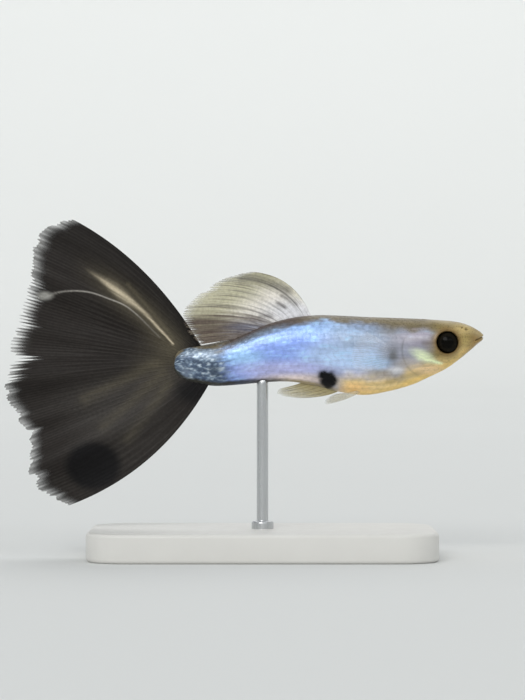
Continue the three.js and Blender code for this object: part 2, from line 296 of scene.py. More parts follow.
def lathe(profile, sides):
    """Points and faces of a closed solid turned about Z, from [radius, height] with both ends at 0."""
    start, end = ([[0, 0, profile[k][1]]] for k in (0, -1))
    return np.concatenate([start, turned(profile[1:-1], sides), end]), ring_faces(len(profile) - 2, sides)


# Colours, as linear light
PERIWINKLE = (0.29, 0.42, 0.90)
SKY = (0.29, 0.42, 0.77)
CYAN = (0.40, 0.68, 0.95)
PALE_BLUE = (0.42, 0.53, 0.74)
STEEL_BLUE = (0.30, 0.37, 0.46)
LILAC = (0.52, 0.52, 0.80)
ROSE_GREY = (0.84, 0.72, 0.69)
BROWN_GREY = (0.19, 0.155, 0.09)
PLUM_BROWN = (0.10, 0.07, 0.06)
OLIVE = (0.25, 0.19, 0.07)
OLIVE_PALE = (0.37, 0.285, 0.10)
SNOUT_BROWN = (0.24, 0.145, 0.05)
OLIVE_BLACK = (0.03, 0.026, 0.012)
PEACH = (0.81, 0.60, 0.26)
# For the brighter underside: pale skin with painted warm bounce light
PEACH_BRIGHT = (0.92, 0.64, 0.20)
ORANGE = (1.0, 0.62, 0.25)
SLATE = (0.055, 0.078, 0.11)
STEEL = (0.21, 0.285, 0.38)
SCALE_GLINT = (0.70, 0.80, 0.90)
LAVENDER_GREY = (0.32, 0.32, 0.37)
ICE_BLUE_HIGHLIGHT = (0.50, 0.66, 0.92)
CROWN = (0.36, 0.29, 0.155)
BLUSH = (0.32, 0.28, 0.34)
# Dark grey for painted shade round the gill
GILL_SHADE = (0.12, 0.12, 0.11)
MILK = (0.72, 0.72, 0.75)
FLASH = (0.88, 0.98, 0.62)
INK = (0.004, 0.004, 0.005)
CREAM = (0.92, 0.87, 0.79)


# Soft spots: colour, strength, how far the streaks shift it, place, radii and softness
# The steel-blue spot is the flank's own colour; the cyan and ice-blue spots are painted highlights
FLANK_TINTS_AND_HIGHLIGHTS = [
    (STEEL_BLUE, 0.75, 1, (10.4, 2.6), (3.6, 1.2), 0.7),
    (CYAN, 0.65, 0.6, (-2.0, 0.75), (2.0, 0.75), 0.8),
    (CYAN, 0.3, 0.6, (4.6, 3.7), (3.2, 0.7), 0.8),
    (ICE_BLUE_HIGHLIGHT, 0.8, 1, (6.6, 0.9), (2.6, 1.1), 0.8),
    (ICE_BLUE_HIGHLIGHT, 0.9, 0.5, (10.4, 0.5), (2.6, 0.95), 0.7),
    (CYAN, 0.5, 0.5, (11.6, 0.4), (1.4, 0.6), 0.7),
]
LOW_FLANK_SPOTS = [
    (LILAC, 0.85, 0, (2.6, -0.6), (4.8, 0.95), 0.7),
    (ROSE_GREY, 0.95, 0, (3.8, -1.6), (4.2, 0.66), 0.6),
]
THROAT_TINTS_AND_BOUNCE_LIGHT = [
    # The olive spot is the throat's own colour; the orange and cream spots are painted warm light bounced
    # up onto the throat
    (OLIVE, 0.6, 0, (12.2, -0.9), (1.4, 0.45), 0.8),
    (ORANGE, 0.5, 0, (17.4, -0.5), (1.3, 0.45), 0.8),
    (CREAM, 0.2, 0, (17.4, -0.5), (1.3, 0.45), 0.8),
]
CROWN_TINT_AND_HIGHLIGHT = [
    # The pale olive spot at the top of the head is a painted highlight
    (OLIVE_PALE, 0.5, 0, (20.9, 3.8), (0.9, 0.5), 0.8),
    (PEACH, 0.22, 0, (20.4, 3.6), (1.1, 0.55), 0.8),
]
GILL_SHADE_AND_SPOTS = [
    # The three dark grey spots are painted shade at the root of the pectoral fin, behind the gill cover
    (GILL_SHADE, 0.75, 0, (13.45, 0.95), (0.45, 0.6), 0.9),
    (GILL_SHADE, 0.28, 0, (12.8, 1.5), (0.8, 0.9), 0.9),
    (GILL_SHADE, 0.12, 0, (13.9, 2.6), (1.0, 1.1), 0.9),
    (PEACH, 0.2, 0, (15.2, 0.1), (1.3, 0.6), 0.8),
    (MILK, 0.85, 0, (13.85, -0.55), (0.66, 0.36), 0.8),
]


def all_over(x, colour):
    return np.ones(x.shape + (3,)) * colour


def lay(colour, other, amount):
    """Lays another colour over the colours at points, by an amount from 0 to 1, which may differ."""
    colour += (np.array(other) - colour) * np.asarray(amount)[..., None]


def lay_spots(colour, x, z, streak, spots):
    for other, strength, shift, place, radii, soft in spots:
        lay(colour, other, strength * spot(x, z + shift * streak, place, radii, soft))


def streaks(x, share):
    """Fine streaks along the body, about -0.5 to 0.5. Share is the height from belly 0 to back 1."""
    broad = noise(x * 0.9, share * 25)
    narrow = noise(x * 2.3 + 31, share * 48 + 13)
    return 0.6 * broad + 0.4 * narrow - 0.5


def flank_colours(x, z, below_back, drift, streak):
    """Blue with painted cyan highlights and streaks of painted sheen, paler in front, lilac and rose low
    down.
    """
    colour = all_over(x, PERIWINKLE)
    lay(colour, SKY, 0.85 * fade(0.9, 2.8, below_back + drift + streak))
    lay(colour, PALE_BLUE, 0.8 * smooth(4.0, 8.5, x + drift + 2 * streak))
    lay_spots(colour, x, z, streak, FLANK_TINTS_AND_HIGHLIGHTS)
    # Painted iridescent sheen: cyan on the lighter streaks, and at the return the streaks lighten and
    # darken the flank
    lay(colour, CYAN, 0.42 * smooth(0.08, 0.3, streak))
    lay_spots(colour, x, z, streak, LOW_FLANK_SPOTS)
    return colour * (1 + 0.3 * streak[..., None])


def stalk_colours(colour, x, z, share, streak, blur):
    """The stalk is dark slate, mottled with steel, with painted glints on a few of its scales."""
    stalk = fade(-5.3, -2.8, x + 1.8 * streak + 0.3 * (z - 0.5))
    lay(colour, SLATE, 0.92 * stalk)
    dashes = 0.5 * noise(x * 2.3 + 4, share * 18 + 3) + 0.5 * noise(x * 5.0 + 8, share * 37 + 5)
    patch = stalk * spot(x + blur, z + 0.5 * blur, (-6.6, 0.1), (3.4, 1.9), 0.4)
    lay(colour, STEEL, 0.9 * stalk * smooth(0.4, 0.62, dashes))
    # Painted glints: a few scales lit near white
    lay(colour, SCALE_GLINT, 0.75 * patch * smooth(0.6, 0.78, dashes))
    lay(colour, STEEL_BLUE, 0.55 * spot(x + blur, z, (-5.7, 1.3), (1.7, 0.6), 0.8))
    lay(colour, STEEL_BLUE, 0.45 * spot(x + blur, z, (-8.0, -0.7), (0.8, 0.6), 0.8))
    lay(colour, SLATE, 0.65 * spot(x, z, (-5.0, -0.55), (0.6, 0.55), 0.8))
    return stalk


def head_colours(colour, x, z, above_belly, below_back, drift, streak):
    """Lavender grey on the gill cover, olive in front, a peach throat and a brown snout, with painted shade
    at the gill slit and on the creased skin below it, painted warm bounce light on the throat and a painted
    highlight on the crown.
    """
    outside = off_gill(x, z)
    shoulder = smooth(11.4, 14.2, x + 1.6 * streak + 0.3 * (z - 1.0))
    low = smooth(3.0, 4.0, z + 0.7 * drift + streak)
    lay(colour, LAVENDER_GREY, 0.9 * shoulder * (1 - low) * smooth(-1.9, -0.9, z))
    lay(colour, BROWN_GREY, 0.85 * shoulder * smooth(3.0, 4.0, z + drift + 0.8 * streak))
    lay(colour, BLUSH, 0.7 * spot(x, z + streak, (16.4, 2.6), (1.9, 0.75), 0.8))
    front = smooth(16.4, 18.5, x + drift + 0.15 * (1.5 - z))
    lay(colour, OLIVE, front)
    lay(colour, OLIVE_PALE, front * 0.8 * spot(x, z, (20.6, 2.1), (1.2, 1.1), 0.7))
    jaw_line = np.maximum(0.2 + 0.3 * (x - 17.0), 0.55 * (x - 17.0) - 0.2)
    throat = smooth(13.6, 15.2, x) * fade(-0.6, 0.6, z - jaw_line + 0.5 * streak)
    lay(colour, PEACH, 0.85 * throat * fade(20.4, 22.0, x))
    # Brighter peach low on the throat: the pale throat with painted warm bounce light
    lay(colour, PEACH_BRIGHT, 0.85 * throat * fade(0.35, 0.9, above_belly))
    lay(colour, OLIVE, 0.48 * spot(x, z, (19.5, 0.85), (1.5, 0.5), 0.8))
    # Painted shadow in the gill slit
    slit = bell(outside - 0.14, 0.11) * smooth(-1.6, -0.6, z) * fade(2.4, 3.6, z)
    lay(colour, GILL_SHADE, 0.32 * slit * fade(16.4, 17.4, x))
    # Olive along the crease low on the head: painted shade in the crease
    crease = stroke(x, z, [[12.9, -1.75], [14.4, -1.3], [15.8, -0.95], [16.8, -0.5]], 0.28)
    lay(colour, OLIVE, 0.45 * crease)
    lay_spots(colour, x, z, streak, THROAT_TINTS_AND_BOUNCE_LIGHT)
    lay(colour, SNOUT_BROWN, 0.85 * smooth(20.8, 22.2, x - 0.25 * (z - 3.0) + 0.4 * drift))
    crown = smooth(16.5, 18.5, x) * fade(0.15, 0.75, below_back + drift)
    lay(colour, CROWN, 0.8 * crown)
    lay_spots(colour, x, z, streak, CROWN_TINT_AND_HIGHLIGHT)
    lay(colour, PEACH, 0.1 * smooth(19.6, 20.6, x))
    return front, throat, outside


def head_spots(colour, x, y, z, streak):
    """A dark smudge and a painted pale highlight behind the gill, the bright flash, and painted shade in
    the mouth, round the eye and in the nostrils.
    """
    lay(colour, PLUM_BROWN, 0.35 * stroke(x, z, [[16.6, 2.25], [17.5, 2.2], [18.2, 2.2]], 0.25))
    # A pale streak behind the gill: a painted highlight
    lay(colour, MILK, 0.24 * stroke(x, z, [[15.0, 2.65], [16.0, 2.75], [17.0, 2.8]], 0.24))
    lay_spots(colour, x, z, streak, GILL_SHADE_AND_SPOTS)
    flash = np.maximum(
        0.85 * spot(x, z + 0.35 * (x - 16.6), (16.6, 0.95), (1.05, 0.5), 0.8),
        stroke(x, z, [[16.3, 0.85], [17.0, 0.6], [17.7, 0.38], [18.6, 0.15]], 0.34 - 0.09 * (x - 16.3)),
    )
    flash = flash * (0.75 + 0.5 * noise(x * 2.0, z * 9.0 + 3.0 * x))
    flash = np.clip(flash, 0, 1) * smooth(1.1, 1.7, np.abs(y))
    lay(colour, FLASH, 0.92 * flash)
    # Painted shade in the slit of the mouth
    mouth_slit_shade = bell(mouth_height(x, z), 0.05) * smooth(-MOUTH["depth"], 0.2 - MOUTH["depth"], x - MOUTH["x"])
    lay(colour, OLIVE_BLACK, 0.8 * mouth_slit_shade)
    # A dark ring round the eye, set a little high: painted shade in the socket and under the brow
    from_eye = np.hypot(x - EYE["x"], z - EYE["z"] - 0.06) - EYE["radius"]
    lay(colour, OLIVE_BLACK, 0.95 * fade(-0.1, 0.32, from_eye))
    lay(colour, SNOUT_BROWN, 0.6 * fade(0.1, 0.7, from_eye))
    # Painted shade in the nostril pits
    for place, angle, radius in NOSTRILS:
        lay(colour, OLIVE_BLACK, 0.6 * bell(nostril_distance(x, z, place, angle), radius))
    return flash


def markings(points):
    """Colour, shine, wetness, grain of dark dots and scale contrast of skin and scales at points."""
    x, y, z = np.moveaxis(points, -1, 0)
    back = edge_height(x, BACK)
    belly = edge_height(x, BELLY)
    below_back = back - z
    above_belly = z - belly
    share = above_belly / np.maximum(back - belly, 0.5)
    drift = noise(x * 0.9 + 3, z * 0.9 + 9) - 0.5
    blur = noise(x * 2.1 + 20, z * 2.1 + 5) - 0.5
    streak = streaks(x, share)
    colour = flank_colours(x, z, below_back, drift, streak)
    stalk = stalk_colours(colour, x, z, share, streak, blur)

    # The back is brown, darker under the dorsal fin with painted shadow, and thick over the gills
    depth = lerp(0.8, 1.4, smooth(12.0, 16.0, x)) * lerp(0.5, 1, smooth(-6.5, -3.0, x)) + 0.3 * drift
    depth = depth + 0.2 * bell(x + 2.8, 2.4)
    band = fade(0.45 * depth, 1.3 * depth, below_back + 0.7 * streak)
    lay(colour, BROWN_GREY, 0.95 * band)
    lay(colour, CROWN, 0.6 * band * smooth(10.5, 14.5, x))
    # Plum brown along the base of the dorsal fin: painted shadow of the fin
    dorsal_shadow = smooth(-4.6, -3.0, x) * fade(2.6, 5.4, x)
    lay(colour, PLUM_BROWN, 0.9 * dorsal_shadow * fade(0.3, 1.2, below_back + streak))
    lay(colour, STEEL, 0.6 * spot(x, below_back, (-0.4, 0.75), (2.6, 0.4), 0.9))
    grain = 0.8 * fade(0.6 * depth, 1.8 * depth, below_back)

    # The lower edge is dark behind and olive in front, then the belly is peach
    thicker = 0.14 * fade(-1.0, 0.6, x)
    under = fade(0.16, 0.5, above_belly - thicker + 0.25 * drift + 0.25 * streak)
    lay(colour, OLIVE_BLACK, 0.9 * under * fade(1.0, 3.6, x))
    lay(colour, OLIVE_PALE, 0.7 * under * smooth(1.6, 3.6, x) * fade(7.0, 9.0, x))
    belly_line = lerp(-1.4, -1.15, smooth(9, 14, x)) + 0.4 * drift + 0.6 * streak
    peach = smooth(6.9, 9.0, x) * fade(belly_line - 0.6, belly_line + 0.6, z)
    border = bell(z - belly_line - 0.35, 0.5) * smooth(7.5, 9.0, x) * fade(12.5, 14.5, x)
    lay(colour, ROSE_GREY, 0.5 * border)
    lay(colour, PEACH, 0.95 * peach)
    # The brighter rim along the belly: pale skin with painted warm bounce light from below
    rim = peach * fade(0.15, 0.6, above_belly) * smooth(8.2, 10.0, x)
    lay(colour, PEACH_BRIGHT, 0.75 * rim)
    lay(colour, ORANGE, 0.7 * spot(x + blur, z, (9.6, -2.4), (1.3, 0.5), 0.9))

    front, throat, outside = head_colours(colour, x, z, above_belly, below_back, drift, streak)
    flash = head_spots(colour, x, y, z, streak)

    # The black blotch low on the flank, drawn out up and back
    blotch = np.maximum(
        spot(x + 0.3 * blur, z + 0.3 * blur, (6.9, -1.5), (0.92, 0.84), 0.22),
        spot(x + 0.3 * blur, z, (6.3, -1.0), (0.62, 0.46), 0.4),
    )
    lay(colour, BROWN_GREY, 0.35 * spot(x, z, (6.8, -1.5), (1.4, 1.2), 0.6))
    lay(colour, INK, blotch)

    shine = (1 - 0.85 * peach) * (1 - 0.8 * front) * (1 - 0.8 * throat) * (1 - 0.6 * under)
    shine = np.maximum(shine * smooth(0.2, 1.0, below_back), flash) * (1 - blotch)
    wet = lerp(0.3, 0.03, blotch)
    grain = np.maximum(grain, 0.7 * front) * (1 - blotch)
    upper = fade(1.0, 3.4, below_back)
    contrast = (lerp(0.1, 0.18, stalk) + 0.07 * upper) * smooth(0.2, 1.6, outside) * (1 - blotch)
    return colour, shine, wet, grain, contrast


def mouth_height(x, z):
    """Height above the line of the mouth, which runs down and back from the snout."""
    return z - MOUTH["z"] + MOUTH["slope"] * (MOUTH["x"] - x)


def nostril_distance(x, z, place, angle):
    height = body_point(s_at(place), angle)[2]
    return np.hypot(x - place, z - height)


def skin_relief(points):
    """How far the skin stands out from the plain body, and how far it sinks in for the eye."""
    x, y, z = np.moveaxis(points, -1, 0)
    aside = smooth(0.5, 1.1, np.abs(y))
    outside = off_gill(x, z)
    open_part = smooth(-2.4, -1.6, z) * fade(1.1, 2.3, z) * fade(17.2, 18.4, x) * aside
    cover = 0.03 * fade(-0.16, 0.14, outside) * smooth(-1.6, -0.4, outside)
    out = open_part * (cover - 0.02 * bell(outside - 0.18, 0.11))
    inner = np.hypot(x - 17.95, z - 1.5) - 1.95
    front_plate = smooth(-0.9, -0.2, z) * fade(1.2, 2.2, z) * fade(18.2, 19.2, x) * aside
    out += front_plate * (0.02 * bell(inner + 0.1, 0.16) - 0.025 * bell(inner - 0.06, 0.08))
    throat = np.abs(y) - lerp(0.25, 0.75, smooth(20.5, 16.0, x))
    under = fade(0.5, 1.2, z - edge_height(x, BELLY)) * smooth(15.0, 16.2, x)
    out -= 0.05 * under * bell(throat, 0.09) * fade(20.5, 21.5, x)

    # Lips over and under the slit of the mouth, fading towards its corners
    height = mouth_height(x, z)
    back_from_snout = MOUTH["x"] - x
    gape = fade(0.75, 1.15, back_from_snout)
    out += gape * (0.05 * bell(height - 0.2, 0.14) + 0.06 * bell(height + 0.2, 0.15))
    out -= 0.2 * fade(0.75, 1.0, back_from_snout) * bell(height, 0.055)
    out -= 0.03 * stroke(x, z, [[21.95, 2.7], [21.75, 2.2], [21.7, 1.8]], 0.16) * aside
    for place, angle, radius in NOSTRILS:
        hole = nostril_distance(x, z, place, angle)
        out += 0.04 * bell(hole - 1.6 * radius, 0.6 * radius) - 0.16 * bell(hole, radius)

    # The rim and the socket of each eye
    from_eye = np.hypot(x - EYE["x"], z - EYE["z"])
    sink = 0.95 * fade(EYE["radius"] - 0.16, EYE["radius"] + 0.03, from_eye) * aside
    out += 0.055 * bell(from_eye - EYE["radius"] - 0.13, 0.11) * aside
    out += 0.01 * (noise(x * 3.1, z * 3.1 + y) - 0.5)
    return out, sink


# Materials
NOISE_SPAN = (0.3, 0.7)


def new_material(name):
    material = bpy.data.materials.new(name)
    material.use_nodes = True
    tree = material.node_tree
    return material, tree, tree.nodes["Principled BSDF"]


def feed(socket, value):
    """Sets a socket, by a link where the value is another socket."""
    if isinstance(value, bpy.types.NodeSocket):
        socket.id_data.links.new(value, socket)
    else:
        socket.default_value = value


def set_inputs(node, **values):
    for name, value in values.items():
        feed(node.inputs[name.replace("_", " ")], value)


def add_node(tree, kind, **values):
    node = tree.nodes.new("ShaderNode" + kind)
    set_inputs(node, **values)
    return node


def attribute(tree, name, output="Fac"):
    node = add_node(tree, "Attribute")
    node.attribute_name = name
    return node.outputs[output]


def object_place(tree):
    return add_node(tree, "TexCoord").outputs["Object"]


def noise_node(tree, scale, detail, stretch=(1, 1, 1)):
    """Noise over the object's own coordinates, with its scale in features for each metre."""
    place = add_node(tree, "Mapping", Vector=object_place(tree), Scale=stretch).outputs["Vector"]
    return add_node(tree, "TexNoise", Vector=place, Scale=scale, Detail=detail).outputs["Fac"]


def ranged(tree, value, low, high, to_low, to_high):
    limits = {"From Min": low, "From Max": high, "To Min": to_low, "To Max": to_high}
    return add_node(tree, "MapRange", Value=value, **limits).outputs["Result"]


def noisy(tree, scale, detail, low, high, stretch=(1, 1, 1)):
    """Noise that runs between two values."""
    return ranged(tree, noise_node(tree, scale, detail, stretch), *NOISE_SPAN, low, high)


def maths(tree, operation, a, b):
    node = add_node(tree, "Math")
    node.operation = operation
    feed(node.inputs[0], a)
    feed(node.inputs[1], b)
    return node.outputs[0]


def tint_base(tree, shader, shade):
    """The piece's own colours times a number that varies over the surface."""
    node = add_node(tree, "VectorMath")
    node.operation = "SCALE"
    feed(node.inputs[0], attribute(tree, "tint", "Color"))
    set_inputs(node, Scale=shade)
    set_inputs(shader, Base_Color=node.outputs[0])


def mix_base(tree, shader, factor, one, other):
    """A base colour that varies between two."""
    node = add_node(tree, "Mix")
    node.data_type = "RGBA"
    set_inputs(node, Factor=factor, A=(*one, 1), B=(*other, 1))
    set_inputs(shader, Base_Color=node.outputs["Result"])


def bump(tree, shader, height, strength, distance):
    node = add_node(tree, "Bump", Height=height, Strength=strength, Distance=distance)
    set_inputs(shader, Normal=node.outputs["Normal"])


def skin_material():
    """Wet skin: the markings, streaks along the flank, dark dots and an iridescent sheen."""
    material, tree, shader = new_material("guppy_skin")
    cells = add_node(tree, "TexVoronoi", Vector=object_place(tree), Scale=5200)
    dots = ranged(tree, cells.outputs["Distance"], 0.18, 0.34, 0.55, 0.0)
    dots = maths(tree, "MULTIPLY", dots, attribute(tree, "grain"))
    fibres = noisy(tree, 1500, 3, 0.86, 1.14, (0.2, 1, 2.0))
    shade = maths(tree, "MULTIPLY", fibres, noisy(tree, 5200, 2, 0.94, 1.06))
    tint_base(tree, shader, maths(tree, "MULTIPLY", shade, maths(tree, "SUBTRACT", 1.0, dots)))
    sheen = maths(tree, "MULTIPLY", attribute(tree, "shine"), 0.3)
    set_inputs(shader, Metallic=sheen, Roughness=noisy(tree, 2600, 2, 0.3, 0.46))
    set_inputs(shader, Coat_Weight=attribute(tree, "wet"), Coat_Roughness=0.15)
    set_inputs(shader, Specular_IOR_Level=0.12)
    bump(tree, shader, noise_node(tree, 9000, 2), 0.25, 0.00002)
    return material


def fin_material(name, roughness, gloss):
    """A membrane whose colour and clearness were worked out point by point."""
    material, tree, shader = new_material(name)
    tint_base(tree, shader, noisy(tree, 3800, 3, 0.86, 1.14))
    rough = noisy(tree, 2400, 2, roughness - 0.06, roughness + 0.08)
    set_inputs(shader, Alpha=attribute(tree, "cover"), Roughness=rough, Specular_IOR_Level=gloss)
    bump(tree, shader, noise_node(tree, 6500, 2), 0.2, 0.00002)
    return material


def eye_material():
    material, tree, shader = new_material("wet_eye")
    tint_base(tree, shader, noisy(tree, 5000, 2, 0.8, 1.2))
    set_inputs(shader, Roughness=0.3, Specular_IOR_Level=0.02, Coat_Weight=0.09, Coat_Roughness=0.03)
    return material


def base_material():
    material, tree, shader = new_material("stand_base_paint")
    mix_base(tree, shader, noise_node(tree, 260, 4), (0.66, 0.65, 0.62), (0.72, 0.71, 0.68))
    set_inputs(shader, Roughness=noisy(tree, 900, 3, 0.38, 0.5))
    bump(tree, shader, noise_node(tree, 2600, 3), 0.12, 0.00003)
    return material


def rod_material():
    material, tree, shader = new_material("brushed_rod")
    brushed = noise_node(tree, 1500, 3, (1, 1, 0.06))
    rough = ranged(tree, brushed, *NOISE_SPAN, 0.22, 0.38)
    set_inputs(shader, Base_Color=(0.58, 0.59, 0.60, 1), Metallic=1.0, Roughness=rough)
    bump(tree, shader, brushed, 0.1, 0.00002)
    return material


def floor_material():
    material, tree, shader = new_material("floor_paper")
    mix_base(tree, shader, noise_node(tree, 3, 2), (0.68, 0.69, 0.68), (0.71, 0.72, 0.71))
    set_inputs(shader, Roughness=0.8, Specular_IOR_Level=0.2)
    return material


# The skin
SKIN_RINGS = 470
SKIN_SIDES = 200


def ring_places():
    """Where the skin's rings lie, more than twice as close on the head as on the body."""
    run = np.linalg.norm(np.diff(FINE, axis=0), axis=1)
    middle = (FINE[1:, 0] + FINE[:-1, 0]) / 2
    weight = run * lerp(1.0, 2.4, smooth(13.0, 15.0, middle)) * lerp(1.0, 1.3, smooth(20.5, 22.0, middle))
    total = np.concatenate([[0], np.cumsum(weight)])
    return np.interp(np.linspace(0, total[-1], SKIN_RINGS + 2)[1:-1], total, FINE_S)


def make_skin(material):
    """One closed skin over head, trunk and tail stalk, with its relief and markings."""
    s, angle = np.meshgrid(
        ring_places(), np.linspace(0, 2 * np.pi, SKIN_SIDES, endpoint=False), indexing="ij"
    )
    plain = body_point(s, angle)
    out, sink = skin_relief(plain)
    points = plain + body_normal(s, angle) * out[..., None]
    points[..., 1] -= np.sign(plain[..., 1]) * sink
    ends = body_point(np.array([0.0, 1.0]), np.zeros(2))
    ends[1, 0] += 0.02
    points = np.concatenate([ends[:1], points.reshape(-1, 3), ends[1:]])
    piece = add_object("skin", points, ring_faces(SKIN_RINGS, SKIN_SIDES), material)
    seen = np.concatenate([ends[:1], plain.reshape(-1, 3), ends[1:]])
    colour, shine, wet, grain, _ = markings(seen)
    set_values(piece, tint=np.clip(colour, 0, 1), shine=shine, wet=wet, grain=grain)
    uv = np.stack([angle / (2 * np.pi), s], -1).reshape(-1, 2)
    set_unwrap(piece, np.concatenate([[[0.5, 0]], uv, [[0.5, 1]]]))
    return piece


# The scales
SCALE_ROWS = 28
SCALE_SHAPE = (6, 7)
SCALE_SPAN = (-9.0, 17.6)
SCALE_PITCH = (0.5, 0.74)
SCALE_THICK = 0.045
GILL_MARGIN = 0.32
FIN_MARGIN = 0.55
PATCH = 0.003  # of the map, for one scale


def scale_places():
    """Roots of the scales, in rows round the body where each row is set off by half a scale."""
    places = []
    for row in range(SCALE_ROWS):
        angle = 2 * np.pi * (row + 0.5) / SCALE_ROWS
        x, end = SCALE_SPAN
        pitch = SCALE_PITCH[0]
        if row % 2:
            x += pitch / 2
        while x < end:
            pitch = lerp(*SCALE_PITCH, smooth(-9.0, 1.0, x))
            places.append((x, angle, pitch))
            x += pitch
    places = np.array(places)
    point = body_point(s_at(places[:, 0]), places[:, 1])
    x, z = point[:, 0], point[:, 2]
    behind = (off_gill(x, z) > GILL_MARGIN) & ((z > GILL["top"]) | (x < GILL["nape"]))
    return places[behind & (np.hypot(x - PECTORAL_BASE[0], z - PECTORAL_BASE[1]) >= FIN_MARGIN)]


def make_scales(material):
    """Plates rooted in the skin, whose round rear edges stand out over the next ones."""
    places = scale_places()
    x0, angle0, pitch = (places[:, k, None, None] for k in range(3))
    rows, columns = SCALE_SHAPE
    across = np.linspace(-1, 1, columns)[None, None, :]
    along = np.linspace(0, 1, rows)[None, :, None]
    rear = 0.34 + 0.66 * np.sqrt(1 - np.abs(across) ** 2.3)
    q = along * rear
    turn = 2 * np.pi / SCALE_ROWS
    x = x0 + pitch * (0.45 - 1.32 * q) + 0 * across
    s = s_at(x)
    angle = angle0 + across * turn * 0.6 * lerp(1.0, 0.96, q)
    spread = 0.5 + rng.random(x0.shape)
    lift = 0.006 + 0.006 * spread
    height = -0.03 + (0.03 + lift) * smooth(0, 0.55, q) + 0.008 * (1 - across**2) * smooth(0, 0.4, q)
    ends = smooth(-9.3, -8.4, x)
    normal = body_normal(s, angle)
    base = body_point(s, angle)
    over = base + normal * (height * lerp(0.6, 1, ends))[..., None]
    points, faces = closed_plates(over - normal * SCALE_THICK, over)
    piece = add_object("scales", points, faces, material)
    colour, shine, wet, grain, contrast = markings(base)
    # Each scale is lighter in its middle, a painted sheen, and darker towards its rim, its dark edging
    edge = np.maximum(smooth(0.62, 1.0, along + 0 * across), smooth(0.7, 1.0, np.abs(across) + 0 * along))
    own = 1 + 0.9 * contrast * (rng.random(x0.shape) - 0.5)
    bright = own * (1 + 0.35 * contrast - 1.15 * contrast * edge)
    colour = np.clip(colour * bright[..., None], 0, 1)
    fields = {"tint": colour, "shine": shine, "wet": wet, "grain": grain}
    set_values(piece, **{name: both_sides(values) for name, values in fields.items()})
    root = np.stack([angle0 / (2 * np.pi), s_at(x0)], -1)
    patch = PATCH * np.stack([across / 2 + 0 * along, along - 0.5 + 0 * across], -1)
    set_unwrap(piece, both_sides(root + patch))
    return piece


# The fins: rays fan from a root curve over a bend curve to a tip curve, given as [x, height]
def tail_sway(s, t):
    folds = 0.62 * np.sin(2 * np.pi * (3.1 * s + 0.12)) + 0.3 * np.sin(2 * np.pi * (6.3 * s + 0.4))
    return smooth(0.05, 1, t) * (1.15 * folds + 0.7 * np.sin(np.pi * (s - 0.15)))


def dorsal_sway(s, t):
    wave = 0.3 * np.sin(2 * np.pi * (1.3 * s + 0.05))
    return smooth(0, 1, t) * (wave - 0.8 - 0.75 * smooth(0.3, 0.7, s))


TAIL = {
    "roots": [[-6.2, 1.7], [-7.5, 0.9], [-7.9, 0.2], [-7.5, -0.7], [-5.4, -1.7]],
    "bends": [
        [-11.8, 11.2], [-12.8, 6.7], [-14.5, 3.0], [-16.0, 0.4], [-15.4, -2.6], [-13.8, -6.2],
        [-10.7, -11.3],
    ],
    "tips": [
        [-20.2, 15.4], [-23.2, 14.0], [-24.2, 11.4], [-24.6, 8.6], [-25.7, 5.6], [-26.4, 2.6],
        [-26.9, -0.6], [-27.1, -3.3], [-25.7, -5.6], [-24.4, -8.0], [-24.6, -10.6], [-23.6, -13.0],
        [-20.6, -14.8],
    ],
    "rays": 26, "fine": 18, "rows": 100, "half": (0.3, 0.1), "ridge": 0.045, "notch": 0.012,
    "ragged": 0.03, "nicks": 0.022, "splits": (0.22, 0.5), "sway": tail_sway,
    "frayed": (0.24, 0.53, 0.085),
}
DORSAL = {
    "roots": [[5.3, 4.4], [3.4, 4.1], [1.4, 3.6], [-0.5, 2.95]],
    "bends": [[3.6, 9.6], [0.6, 7.8], [-1.4, 5.2], [-3.1, 2.7]],
    "tips": [
        [-1.6, 9.7], [-4.3, 8.9], [-6.6, 7.4], [-8.2, 6.1], [-8.5, 4.8], [-7.9, 3.3], [-6.6, 2.1],
    ],
    "rays": 11, "fine": 20, "rows": 80, "half": (0.2, 0.07), "ridge": 0.04, "notch": 0.03,
    "ragged": 0.035, "nicks": 0.05, "splits": (0.15, 0.42), "sway": dorsal_sway,
}
ANAL = {
    "roots": [[8.4, -2.4], [7.4, -2.1], [6.2, -1.75], [5.0, -1.5]],
    "bends": [[7.0, -3.5], [5.4, -3.25], [3.9, -2.6], [3.2, -2.2]],
    "tips": [[3.2, -3.45], [1.9, -3.2], [1.3, -2.85], [1.7, -2.45]],
    "rays": 7, "fine": 14, "rows": 60, "half": (0.2, 0.1), "ridge": 0.04, "notch": 0.03,
    "ragged": 0.05, "nicks": 0.04, "splits": (0.5, 2.0),
}
PELVIC = {
    "place": (9.9, 0.85, -2.9), "turn": (0.35, 0, 0.3),
    "roots": [[0.9, 0.5], [0.45, 0.3], [0, 0.3]],
    "bends": [[-0.6, -0.7], [-1.2, -0.5], [-1.3, -0.1]],
    "tips": [[-3.9, -1.3], [-3.5, -0.7], [-2.6, -0.15]],
    "rays": 6, "fine": 14, "rows": 44, "half": (0.14, 0.05), "ridge": 0.035, "notch": 0.06,
    "ragged": 0.03, "nicks": 0.03, "splits": (0.4, 2.0),
}
PECTORAL = {
    "place": (13.5, 2.0, 0.9), "turn": (-0.25, 0.1, 0.55),
    "roots": [[0.2, 0.75], [0, 0.25], [0, -0.2], [0.2, -0.65]],
    "bends": [[-1.6, 1.5], [-2.4, 0.8], [-2.4, -0.5], [-1.4, -1.3]],
    "tips": [[-4.1, 2.3], [-5.1, 1.2], [-5.4, -0.2], [-4.9, -1.5], [-3.7, -2.2]],
    "rays": 12, "fine": 14, "rows": 50, "half": (0.16, 0.045), "ridge": 0.03, "notch": 0.04,
    "ragged": 0.02, "nicks": 0.02, "splits": (0.45, 2.0),
}
RAY_WIDTH = 0.075  # of the space between two main rays


